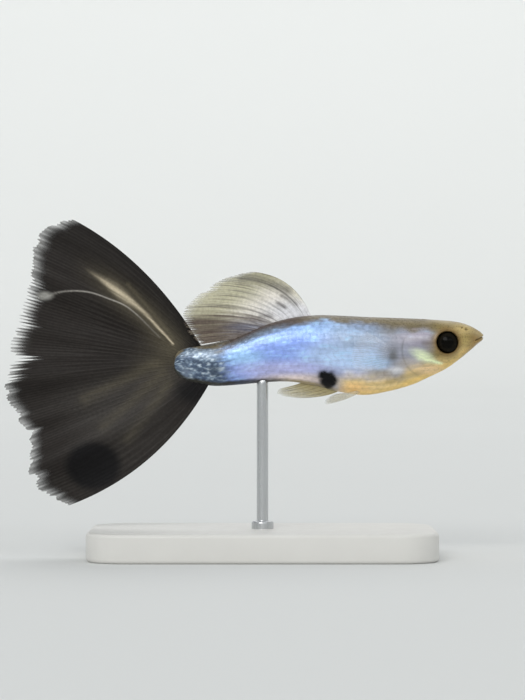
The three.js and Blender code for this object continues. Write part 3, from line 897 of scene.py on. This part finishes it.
def ray_height(fin, s, t):
    """1 on a ray and 0 between rays. Each main ray splits in two, and its branches in two again."""
    at = s * fin["rays"]
    own = LATTICE[np.minimum(at, fin["rays"] - 0.01).astype(int), 5]
    first, second = fin["splits"]
    start = first + 0.12 * (own - 0.5)
    away = np.abs(at - np.floor(at) - 0.5)
    away = np.abs(away - 0.25 * smooth(start, start + 0.3, t))
    start = second + 0.16 * (own - 0.5)
    away = np.abs(away - 0.125 * smooth(start, start + 0.25, t))
    return bell(away, RAY_WIDTH * lerp(1.5, 0.8, t))


def fin_reach(fin, s):
    """How much of its whole length the fin has at s: the edge is uneven, nicked and in parts frayed."""
    tip_ray = ray_height(fin, s, 1.0)
    branch = noise(s * fin["rays"] * 4.0 + 7, 3)
    group = noise(s * fin["rays"] * 1.3 + 2, 6)
    nick = smooth(0.7, 0.95, noise(s * fin["rays"] * 2.3 + 11, 8))
    start, end, deep = fin.get("frayed", (0, 1, 0))
    frayed = deep * smooth(start - 0.03, start + 0.03, s) * fade(end - 0.03, end + 0.03, s)
    comb = (fin["notch"] + frayed * smooth(0.25, 0.8, group)) * (1 - tip_ray) * lerp(0.3, 1, branch)
    return 1 - comb - fin["ragged"] * (0.4 * branch + 0.6 * group) - fin["nicks"] * nick


def make_fin(name, fin, paint, material, side=0):
    """A fin as one closed plate. A side of 1 or -1 sets a paired fin on that side of the body.

    Each fin has main rays, fine columns for each ray and rows from root to tip. Half is half its thickness
    at the root and farther out, and ridge is what a ray adds. Notch, ragged, nicks and frayed cut its edge,
    splits tells where rays branch, and sway moves the fin sideways.
    """
    columns = fin["rays"] * fin["fine"]
    s = np.linspace(0, 1, columns + 1)[:, None]
    row = np.linspace(0, 1, fin["rows"] + 1)[None, :]
    t = row * fin_reach(fin, s)
    root, bend, tip = (through(fin[key])(s) for key in ("roots", "bends", "tips"))
    u = (1 - t)[..., None]
    flat = u * u * root + 2 * u * (1 - u) * bend + (1 - u) ** 2 * tip
    ray = ray_height(fin, s, t)
    thin = lerp(1, 0.4, smooth(0.9, 1, row))
    plate = lerp(fin["half"][0], fin["half"][1], np.minimum(t / 0.25, 1))
    thick = (plate + fin["ridge"] * ray * (1 - 0.6 * t)) * thin
    sway = side * 0.35 * t * t * (1 - 2 * np.abs(s - 0.5))
    if "sway" in fin:
        sway = fin["sway"](s, t)
    x, z = flat[..., 0], flat[..., 1]
    under = np.stack([x, sway - thick, z], -1)
    over = np.stack([x, sway + thick, z], -1)
    points, faces = closed_plates(under[None], over[None])
    if side:
        roll, pitch, yaw = fin["turn"]
        turn = np.array(Euler((side * roll, pitch, -side * yaw)).to_matrix())
        points = points @ turn.T + np.array(fin["place"]) * [1, side, 1]
    piece = add_object(name, points, faces, material)
    s, row = np.broadcast_arrays(s, row)
    tint, cover = (np.clip(values, 0, 1) for values in paint(x, z, s, t, ray, row))
    set_values(piece, tint=both_sides(tint[None]), cover=both_sides(cover[None]))
    place = np.stack([0.05 + 0.9 * s, 0.02 + 0.46 * row], -1).reshape(-1, 2)
    set_unwrap(piece, np.concatenate([place, place + [0, 0.5]]))
    return piece


TAIL_BLACK = (0.016, 0.013, 0.0115)
TAIL_RAY = (0.052, 0.047, 0.043)
TAIL_OLIVE = (0.105, 0.09, 0.06)
FOLD_HIGHLIGHT = (0.74, 0.64, 0.46)
TAIL_EDGE = (0.24, 0.235, 0.22)
TAIL_NICK = (0.42, 0.41, 0.38)
# Where a fold of the tail catches the light, painted as a highlight
FOLD_HIGHLIGHT_LINE = [[-9.3, 2.2], [-11.4, 4.5], [-12.7, 5.8], [-14.8, 7.5], [-17.3, 9.3], [-19.8, 10.8]]
TAIL_THREAD = [
    [-22.4, 7.1], [-21.2, 7.55], [-19.4, 7.7], [-17.7, 7.5], [-16.0, 6.9], [-14.3, 6.2], [-12.9, 5.1],
    [-11.7, 3.9], [-10.7, 2.9],
]
TAIL_STREAKS = [
    [[-10.3, -0.8], [-13.0, -3.2], [-16.5, -6.4]],
    [[-9.8, -2.0], [-12.2, -5.2], [-14.0, -7.6]],
    [[-11.0, 0.2], [-14.5, -1.6], [-18.5, -3.6]],
]
FIN_OLIVE = (0.60, 0.57, 0.38)
FIN_GREY = (0.17, 0.175, 0.18)
FIN_DARK = (0.05, 0.042, 0.04)
FIN_SHADE = (0.17, 0.19, 0.28)
FIN_LILAC = (0.86, 0.87, 0.94)
YELLOWISH = (0.42, 0.35, 0.16)
# Each smudge on the dorsal fin: its line, how wide it is and how dark
DORSAL_SMUDGES = [
    ([[2.6, 7.7], [0.9, 8.4], [-0.6, 8.9], [-2.2, 9.0]], 0.5, 0.75),
    ([[3.5, 6.3], [2.8, 6.8], [2.0, 7.2]], 0.26, 0.6),
    ([[2.3, 6.0], [1.6, 6.4]], 0.24, 0.75),
    ([[0.9, 5.05], [-0.2, 5.1]], 0.24, 0.75),
    ([[-6.4, 2.6], [-4.6, 2.8], [-2.6, 3.1]], 0.34, 0.55),
    ([[-6.6, 3.3], [-4.4, 3.8], [-2.4, 4.2]], 0.2, 0.7),
    ([[-6.8, 4.6], [-4.8, 4.9], [-3.0, 5.2]], 0.16, 0.4),
]


def paint_tail(x, z, s, t, ray, row):
    """Brown black, olive near its root, with a painted highlight along a fold, faint streaks and a blacker
    round spot.
    """
    streak = noise(s * 60, t * 3.0)
    fine = noise(s * 170 + 3, t * 7.0)
    broad = noise(s * 14 + 5, t * 2.0 + 9)
    tint = all_over(x, TAIL_BLACK)
    lay(tint, TAIL_RAY, ray * (0.1 + 0.4 * streak) + 0.3 * fine * broad)
    middle = smooth(0.2, 0.3, s) * fade(0.7, 0.85, s)
    lay(tint, TAIL_OLIVE, 0.4 * middle * fade(0.12, 0.42, t))
    lower = smooth(0.5, 0.62, s) * fade(0.8, 0.9, s)
    lay(tint, TAIL_RAY, 0.6 * lower * fade(0.5, 0.9, t))
    for line in TAIL_STREAKS:
        lay(tint, TAIL_OLIVE, 0.62 * stroke(x, z, line, 0.6) * lerp(0.4, 1, fine))
    lay(tint, TAIL_RAY, 0.6 * spot(x, z, (-14.3, -6.0), (4.2, 3.2), 0.9) * lerp(0.5, 1, streak))
    # A wide olive haze and a narrow warm streak along the fold: a painted highlight and its glow
    lay(tint, TAIL_OLIVE, 0.7 * stroke(x, z, FOLD_HIGHLIGHT_LINE, 1.3) * fade(0.5, 0.85, t))
    wide = 0.12 + 0.3 * bell(x + 14.9, 1.7) + 0.14 * (streak - 0.5)
    fold = stroke(x, z, FOLD_HIGHLIGHT_LINE, wide) * smooth(-18.8, -15.6, x)
    lay(tint, FOLD_HIGHLIGHT, 0.9 * fold * lerp(0.45, 1, fine))
    lay(tint, TAIL_OLIVE, 0.8 * stroke(x, z, [[-9.4, 2.9], [-11.6, 5.6], [-14.0, 8.4]], 0.2))
    thread = stroke(x, z, TAIL_THREAD, 0.07) * lerp(0.3, 1, smooth(-11.0, -15.0, x))
    lay(tint, CREAM, 0.32 * thread)
    lay(tint, INK, 0.8 * spot(x, z, (-7.0, -2.6), (2.0, 1.4), 0.6))
    tint = tint * lerp(0.68, 1, smooth(0.04, 0.22, s))[..., None]
    lay(tint, INK, 0.88 * spot(x, z, (-17.6, -10.5), (2.8, 2.5), 0.22))
    lay(tint, TAIL_NICK, 0.85 * spot(x, z, (-22.7, 7.2), (0.8, 0.4), 0.6))
    frayed = smooth(0.22, 0.3, s) * fade(0.48, 0.55, s) * smooth(0.88, 0.97, t)
    lay(tint, TAIL_EDGE, 0.7 * frayed * (1 - ray) * lerp(0.3, 1, fine))
    lay(tint, TAIL_EDGE, 0.4 * smooth(0.97, 1.0, row))
    cover = 1 - 0.8 * smooth(0.92, 1.0, row) * lerp(0.5, 1, fine) - 0.4 * frayed * (1 - ray)
    return tint, cover


def paint_dorsal(x, z, s, t, ray, row):
    """Cream and lilac in front, olive behind, with dark smudges and fine dark rays."""
    streak = noise(s * 46 + 3, t * 3.0)
    fine = noise(s * 130 + 9, t * 4.0)
    tint = all_over(x, CREAM)
    lay(tint, FIN_LILAC, 0.8 * spot(x, z, (3.4, 5.3), (3.0, 1.4), 0.7))
    lay(tint, FIN_OLIVE, 0.95 * smooth(0.4, 0.76, t + 0.12 * (streak - 0.5)))
    lay(tint, FIN_OLIVE, 0.6 * fade(0.0, 0.2, s) * smooth(0.15, 0.5, t))
    lay(tint, FIN_GREY, 0.5 * smooth(0.5, 0.9, streak) * lerp(0.4, 1, fine))
    behind = smooth(0.45, 0.85, t)
    lay(tint, FIN_DARK, ray * lerp(0.16, 0.55, behind) * lerp(0.3, 1, fine))
    lay(tint, FIN_DARK, 0.35 * smooth(0.62, 0.9, fine) * lerp(0.5, 1, behind))
    for line, width, amount in DORSAL_SMUDGES:
        lay(tint, FIN_DARK, amount * stroke(x, z, line, width) * lerp(0.5, 1, fine))
    low = smooth(0.46, 0.78, s + 0.24 * (streak - 0.5)) * smooth(0.0, 0.12, t)
    lay(tint, PLUM_BROWN, 0.96 * low * lerp(0.75, 1, fine))
    lay(tint, FIN_SHADE, 0.7 * spot(x, z, (-1.4, 3.9), (1.9, 0.5), 0.9) * lerp(0.4, 1, fine))
    glint = smooth(0.74, 0.95, fine) * smooth(0.35, 0.6, s) * fade(0.4, 0.75, t)
    lay(tint, FIN_LILAC, 0.4 * glint)
    cover = 0.82 - 0.16 * smooth(0.4, 1, t) + 0.14 * ray + 0.3 * low
    cover = cover * (1 - 0.7 * smooth(0.9, 1.0, row) * (1 - 0.4 * ray))
    return tint, cover


def paint_anal(x, z, s, t, ray, row):
    """Yellowish and half clear, with thin dark lines along its few rays."""
    fine = noise(s * 40 + 9, t * 4.0)
    tint = all_over(x, YELLOWISH)
    lay(tint, FIN_OLIVE, 0.5 * smooth(0.3, 0.8, t))
    lay(tint, FIN_DARK, 0.8 * ray * smooth(0.1, 0.35, t) * lerp(0.35, 1, fine))
    lay(tint, FIN_DARK, 0.5 * smooth(0.6, 0.9, fine) * smooth(0.2, 0.5, t))
    cover = 0.75 - 0.4 * smooth(0.3, 0.9, t) + 0.3 * ray
    return tint, cover * (1 - 0.7 * smooth(0.85, 1, row))


def paint_pelvic(x, z, s, t, ray, row):
    """Half clear and yellowish, with faint rays."""
    tint = all_over(x, CREAM)
    lay(tint, FIN_OLIVE, 0.6)
    lay(tint, FIN_GREY, 0.5 * ray)
    cover = 0.3 + 0.2 * ray + 0.4 * fade(0.0, 0.2, t)
    return tint, cover * (1 - 0.5 * smooth(0.85, 1, row))


def paint_pectoral(x, z, s, t, ray, row):
    """Nearly clear, with thin pale grey rays."""
    tint = all_over(x, FIN_LILAC)
    lay(tint, FIN_GREY, 0.3 * ray)
    cover = 0.09 + 0.13 * ray + 0.3 * fade(0.0, 0.12, t)
    return tint, cover * (1 - 0.5 * smooth(0.85, 1, row))


# The eyes
IRIS = (0.009, 0.007, 0.004)
PUPIL = (0.0022, 0.0018, 0.0012)
EYE_RINGS = 60
EYE_SIDES = 72


def make_eye(name, side, material):
    """A wet black ball with a domed front, a dark iris and a pupil."""
    fall = np.linspace(0, np.pi, EYE_RINGS + 2)[1:-1]
    dome = EYE["dome"] * bell(np.sin(fall), 0.5) * (np.cos(fall) > 0)
    profile = np.stack([EYE["radius"] * np.sin(fall), EYE["half"] * np.cos(fall) + dome], -1).tolist()
    front = [0, EYE["half"] + EYE["dome"]]
    points, faces = lathe([front] + profile + [[0, -EYE["half"]]], EYE_SIDES)
    x, y, z = points.T
    outward = np.stack([x, side * z, y], -1) + [EYE["x"], side * EYE["out"], EYE["z"]]
    piece = add_object(name, outward, faces, material)
    radius = np.hypot(x, y)
    iris = smooth(0.62, 0.68, radius) * fade(0.92, 1.02, radius)
    fibres = noise(np.arctan2(y, x) * 12 + 40, radius * 3)
    tint = all_over(radius, PUPIL)
    lay(tint, IRIS, iris * lerp(0.5, 1, fibres))
    set_values(piece, tint=tint)
    return piece


# The stand
BASE = {"length": 36, "width": 20, "height": 3, "corner": 4, "bevel": 0.4}
ROD = {"radius": 0.6, "top": 18.8, "round": 0.1, "rings": 20}
COLLAR = {"radius": 1.15, "height": 0.8, "round": 0.22, "sunk": 0.3}
CORNER_STEPS = 16
ROUND_TURN = np.linspace(0, np.pi / 2, 7)
ROD_SIDES = 48


def rounded_outline(inset):
    """The base's outline, drawn in by an inset."""
    radius = BASE["corner"] - inset
    x = BASE["length"] / 2 - BASE["corner"]
    y = BASE["width"] / 2 - BASE["corner"]
    corners = [(x, -y, -np.pi / 2), (x, y, 0), (-x, y, np.pi / 2), (-x, -y, np.pi)]
    outline = []
    for cx, cy, start in corners:
        turn = start + np.linspace(0, np.pi / 2, CORNER_STEPS)
        outline.append(np.stack([cx + radius * np.cos(turn), cy + radius * np.sin(turn)], -1))
    return np.concatenate(outline)


def make_base(material):
    """The base block, with round corners and rounded edges."""
    bevel = BASE["bevel"]
    lower = [(bevel * (1 - math.sin(a)), bevel * (1 - math.cos(a))) for a in ROUND_TURN]
    upper = [(inset, BASE["height"] - height) for inset, height in lower[::-1]]
    rings = []
    for inset, height in lower + upper:
        flat = rounded_outline(inset)
        rings.append(np.column_stack([flat, np.full(len(flat), height - AXIS_HEIGHT)]))
    index, faces = bands(len(rings), len(rings[0]))
    faces += [index[0], index[-1]]
    piece = add_object("base_block", np.concatenate(rings), faces, material)
    for polygon in piece.data.polygons:
        polygon.use_smooth = len(polygon.vertices) == 4
    return piece


def make_rod(material):
    """The rod, rounded at both ends, and the collar at its foot."""
    foot = BASE["height"] - COLLAR["sunk"]
    top = BASE["height"] + COLLAR["height"]
    sine, cosine = np.sin(ROUND_TURN), np.cos(ROUND_TURN)
    edge = COLLAR["round"]
    shoulder = np.stack([COLLAR["radius"] - edge * (1 - cosine), top - edge * (1 - sine)], -1)
    throat = np.stack([ROD["radius"] + ROD["round"] * (1 - sine), top + ROD["round"] * (1 - cosine)], -1)
    heights = np.linspace(top + 2 * ROD["round"], ROD["top"] - ROD["round"], ROD["rings"])
    shaft = [[ROD["radius"], h] for h in heights]
    profile = [[0, foot], [COLLAR["radius"], foot]] + shoulder.tolist() + throat.tolist() + shaft
    profile += [[ROD["radius"] - ROD["round"], ROD["top"]], [0, ROD["top"]]]
    points, faces = lathe(profile, ROD_SIDES)
    return add_object("rod_and_collar", points - [0, 0, AXIS_HEIGHT], faces, material)


# The room, the camera and the lights
FLOOR = {"inner": 60.0, "flat": 1100.0, "bend": 600.0, "wall": 640.0, "rings": 12, "arc": 24, "sides": 96}


def make_floor(material):
    """A pale floor that curves up into a wall all round, so that no horizon shows."""
    flat, bend = FLOOR["flat"], FLOOR["bend"]
    profile = [[r, 0] for r in np.linspace(FLOOR["inner"], flat, FLOOR["rings"])]
    for angle in np.linspace(0, np.pi / 2, FLOOR["arc"])[1:]:
        profile.append([flat + bend * math.sin(angle), bend * (1 - math.cos(angle))])
    profile.append([flat + bend, FLOOR["wall"]])
    points = turned(profile, FLOOR["sides"])
    index, faces = bands(len(profile), FLOOR["sides"])
    faces.append(index[0])
    floor = add_object("floor", points - [0, 0, AXIS_HEIGHT], faces, material)


CAMERA_DISTANCE = 300.0
SENSOR_MM = 36.0


def make_camera():
    """Level with the fish, square to its right side, framed as the photograph is."""
    camera = new_object("camera", bpy.data.cameras.new("camera"))
    height = AXIS_HEIGHT + (AXIS_ROW - PHOTO_SIZE[1] / 2) * PIXEL_MM
    across = (PHOTO_SIZE[0] / 2 - ORIGIN_COLUMN) * PIXEL_MM
    camera.location = Vector((across, -CAMERA_DISTANCE, height)) * MM
    camera.rotation_euler = (math.pi / 2, 0, 0)
    camera.data.sensor_width = SENSOR_MM
    camera.data.lens = SENSOR_MM * CAMERA_DISTANCE / (PHOTO_SIZE[1] * PIXEL_MM)
    camera.data.clip_start = 0.01
    camera.data.clip_end = 10
    bpy.context.scene.camera = camera


def add_sun(name, toward, strength, spread, colour):
    """A soft light from a direction, the same all over the floor and its wall."""
    light = new_object(name, bpy.data.lights.new(name, "SUN"))
    light.data.angle = math.radians(spread)
    light.data.energy = strength
    light.data.color = colour
    light.rotation_mode = "QUATERNION"
    light.rotation_quaternion = Vector(toward).to_track_quat("-Z", "Y")


def make_lights():
    add_sun("key", (0.35, 1.0, -0.6), 1.45, 35, (1.0, 0.99, 0.97))
    add_sun("front", (-0.5, 1.0, -0.1), 1.25, 50, (0.98, 0.99, 1.0))
    add_sun("back", (-0.1, -0.7, -1.0), 0.5, 50, (1.0, 1.0, 1.0))
    world = bpy.data.worlds.new("studio")
    world.use_nodes = True
    background = world.node_tree.nodes["Background"]
    set_inputs(background, Color=(0.95, 0.98, 1.0, 1), Strength=0.62)
    bpy.context.scene.world = world
    bpy.context.scene.view_settings.view_transform = "Standard"


def dress(piece, slot, *nodes):
    """The piece rides with the model and stands for the nodes it replaces; its slot is not used."""
    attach(piece, "root")
    if nodes:
        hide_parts(*nodes)


def make_fish():
    skin = skin_material()
    dress(make_skin(skin), "flank_skin", "head", "torso", "tail_stalk")
    dress(make_scales(skin), "flank_skin")
    dark = fin_material("dark_membrane", 0.55, 0.12)
    clear = fin_material("clear_membrane", 0.45, 0.2)
    dress(make_fin("tail_web", TAIL, paint_tail, dark), "black_fin", "tail_fin")
    dress(make_fin("dorsal_web", DORSAL, paint_dorsal, clear), "clear_fin", "dorsal_fin")
    dress(make_fin("anal_web", ANAL, paint_anal, clear), "clear_fin", "anal_fin")
    wet = eye_material()
    paired = [("pelvic", PELVIC, paint_pelvic), ("pectoral", PECTORAL, paint_pectoral)]
    for name, side in (("left", 1), ("right", -1)):
        for kind, fin, paint in paired:
            web = make_fin(f"{kind}_web_{name}", fin, paint, clear, side)
            dress(web, "clear_fin", f"{kind}_fin_{name}")
        dress(make_eye(f"eyeball_{name}", side, wet), "eye", f"eye_{name}")


def make_stand():
    dress(make_base(base_material()), "stand_base", "stand_base")
    dress(make_rod(rod_material()), "stand_rod", "stand_rod")


make_camera()
make_lights()
make_floor(floor_material())
make_fish()
make_stand()
